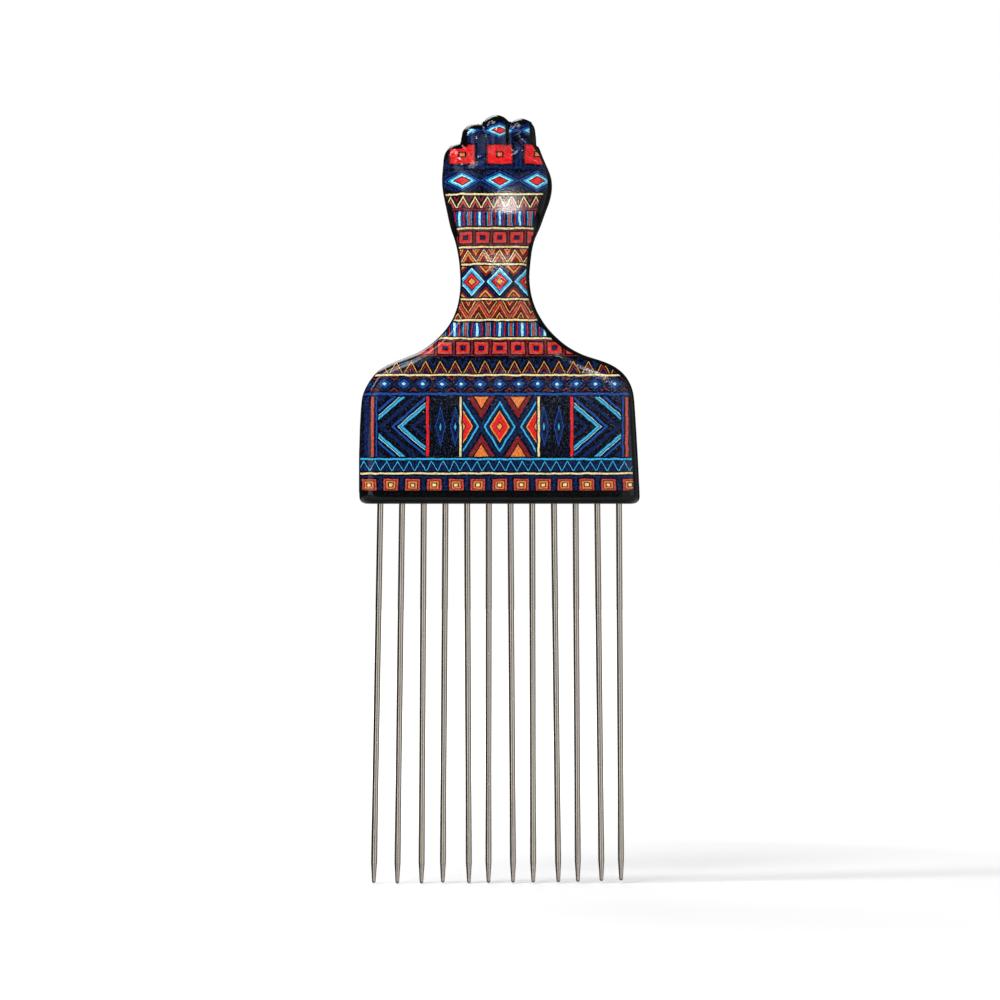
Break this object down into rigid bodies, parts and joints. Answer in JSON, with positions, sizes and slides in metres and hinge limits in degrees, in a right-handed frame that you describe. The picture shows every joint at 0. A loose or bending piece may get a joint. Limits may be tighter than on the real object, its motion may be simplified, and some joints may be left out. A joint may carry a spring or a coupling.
{
  "type": "afro pick",
  "caption": "Hair pick with long slender steel tines in a row and a raised-fist handle with a printed front, for combing and lifting coily hair.",
  "frame": {"origin": "on the plane of the lowest tine tip, under the middle of the base and of its thickness", "axes": "+Z from the tine tips up the handle to the top of the fist, -Y out of the printed front (the back of the hand), +X to the right of someone facing the print"},
  "size_m": [0.0647, 0.017, 0.177],
  "materials": {
    "handle_black": "moulded ABS with a high gloss",
    "printed_film": "printed film under a clear gloss coat, navy with red, orange, gold and cyan bands",
    "carrier_nylon": "natural nylon as moulded",
    "tine_steel": "drawn stainless steel wire with ground and polished tips"
  },
  "bodies": {
    "root": {"front_shell": "handle_black", "back_shell": "handle_black", "tine_block": "carrier_nylon", "front_print": "printed_film", "tine_01": "tine_steel", "tine_02": "tine_steel", "tine_03": "tine_steel", "tine_04": "tine_steel", "tine_05": "tine_steel", "tine_06": "tine_steel", "tine_07": "tine_steel", "tine_08": "tine_steel", "tine_09": "tine_steel", "tine_10": "tine_steel", "tine_11": "tine_steel", "tine_12": "tine_steel"}
  },
  "joints": []
}
